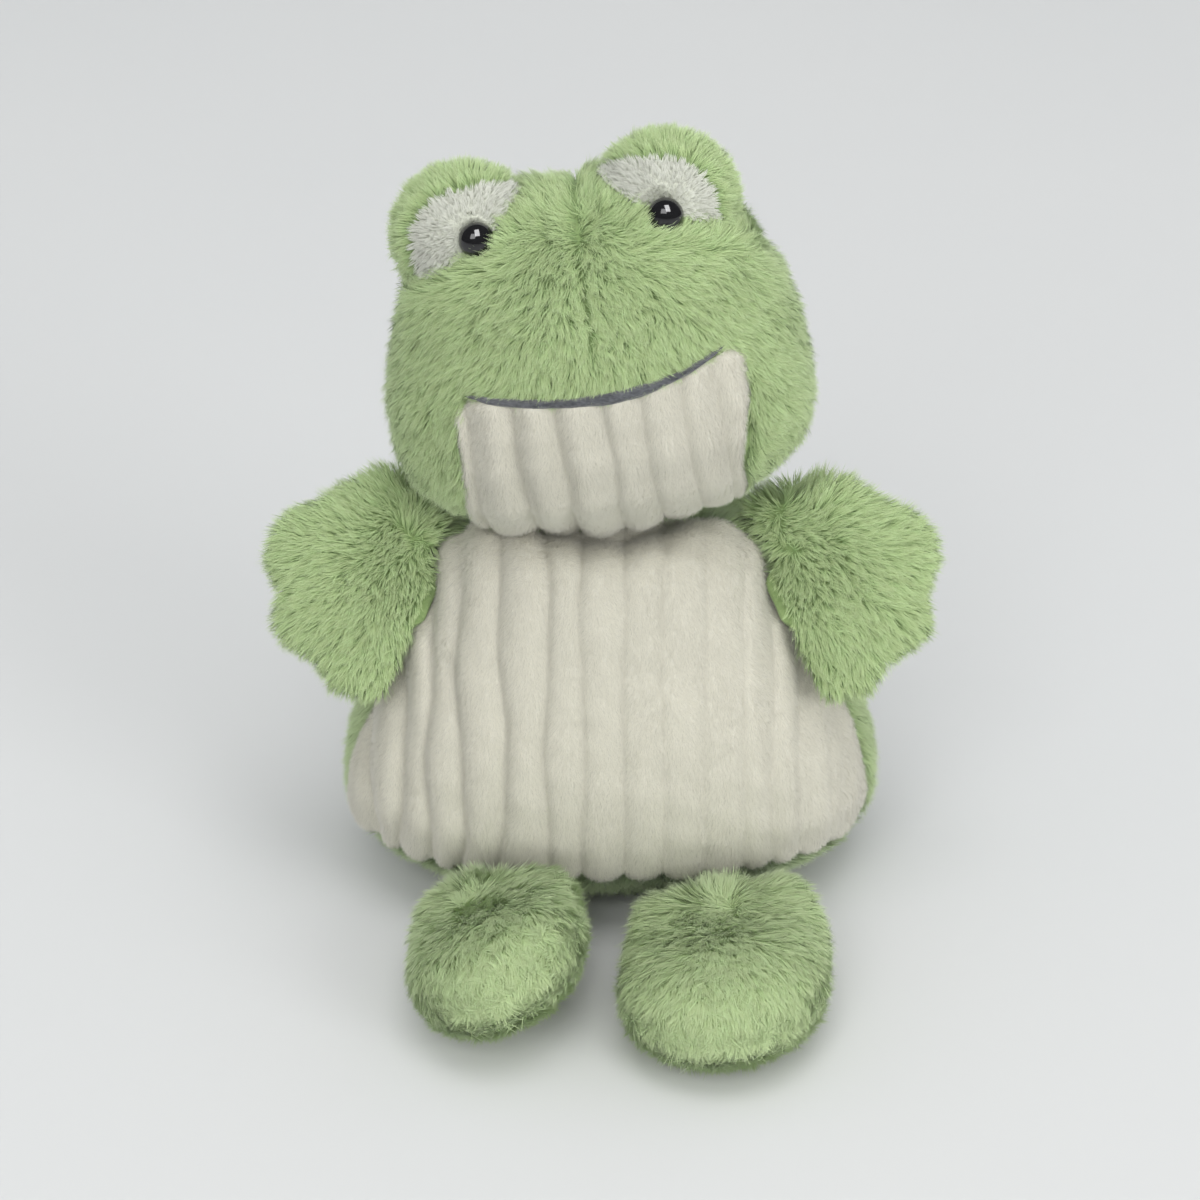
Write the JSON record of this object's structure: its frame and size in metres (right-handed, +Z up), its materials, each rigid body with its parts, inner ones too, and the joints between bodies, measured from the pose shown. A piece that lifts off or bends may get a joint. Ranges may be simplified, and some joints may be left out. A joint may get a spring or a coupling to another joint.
{
  "type": "plush frog",
  "caption": "Sitting stuffed frog with a ribbed belly and chin, domed button eyes on raised mounds, mitten arms and big oval feet",
  "frame": {"origin": "centre of the flat seat, on the surface that the frog sits on", "axes": "+Z up, -Y the way the frog faces, +X to the viewer's right when looking at its face"},
  "size_m": [0.2424, 0.2328, 0.2934],
  "materials": {
    "green_fur": "matte",
    "cream_rib": "matte",
    "white_fur": "matte",
    "grey_suede": "matte",
    "stuffing": "matte",
    "pellet_cloth": "matte",
    "eye_black": "gloss",
    "washer_plastic": "matte"
  },
  "bodies": {
    "torso": {"torso_left_panel": "green_fur", "torso_right_panel": "green_fur", "seat_panel": "green_fur", "belly_panel": "cream_rib", "torso_stuffing": "stuffing", "pellet_bag": "pellet_cloth"},
    "neck": {"neck_stuffing": "stuffing"},
    "head": {"head_left_panel": "green_fur", "head_right_panel": "green_fur", "chin_panel": "cream_rib", "mouth_strip": "grey_suede", "head_stuffing": "stuffing", "eye_mound_left": "green_fur", "eye_patch_left": "white_fur", "eye_mound_stuffing_left": "stuffing", "eye_left": "eye_black", "eye_washer_left": "washer_plastic", "eye_mound_right": "green_fur", "eye_patch_right": "white_fur", "eye_mound_stuffing_right": "stuffing", "eye_right": "eye_black", "eye_washer_right": "washer_plastic"},
    "arm_left": {"arm_front_panel_left": "green_fur", "arm_back_panel_left": "green_fur", "arm_stuffing_left": "stuffing"},
    "arm_right": {"arm_front_panel_right": "green_fur", "arm_back_panel_right": "green_fur", "arm_stuffing_right": "stuffing"},
    "leg_left": {"leg_top_panel_left": "green_fur", "leg_sole_panel_left": "green_fur", "leg_stuffing_left": "stuffing"},
    "leg_right": {"leg_top_panel_right": "green_fur", "leg_sole_panel_right": "green_fur", "leg_stuffing_right": "stuffing"}
  },
  "joints": [
    {"name": "head_nod", "type": "hinge", "parent": "torso", "child": "neck", "pos_m": [-0.001, 0.003, 0.144], "axis": [-1, 0, 0], "range_deg": [-2, 14]},
    {"name": "head_tilt", "type": "hinge", "parent": "neck", "child": "head", "pos_m": [-0.001, 0.003, 0.144], "axis": [0, 1, 0], "range_deg": [-1, 9]},
    {"name": "arm_left_swing", "type": "hinge", "parent": "torso", "child": "arm_left", "pos_m": [-0.06365, -0.02734, 0.12161], "axis": [0.3987, 0.539, 0.7419], "range_deg": [-4, 40]},
    {"name": "arm_right_swing", "type": "hinge", "parent": "torso", "child": "arm_right", "pos_m": [0.06365, -0.02734, 0.12161], "axis": [0.3987, -0.539, -0.7419], "range_deg": [-4, 40]},
    {"name": "leg_left_lift", "type": "hinge", "parent": "torso", "child": "leg_left", "pos_m": [-0.034, -0.06098, 0.018], "axis": [-1, 0, 0], "range_deg": [-70, 20]},
    {"name": "leg_right_lift", "type": "hinge", "parent": "torso", "child": "leg_right", "pos_m": [0.034, -0.06098, 0.018], "axis": [-1, 0, 0], "range_deg": [-70, 20]}
  ]
}
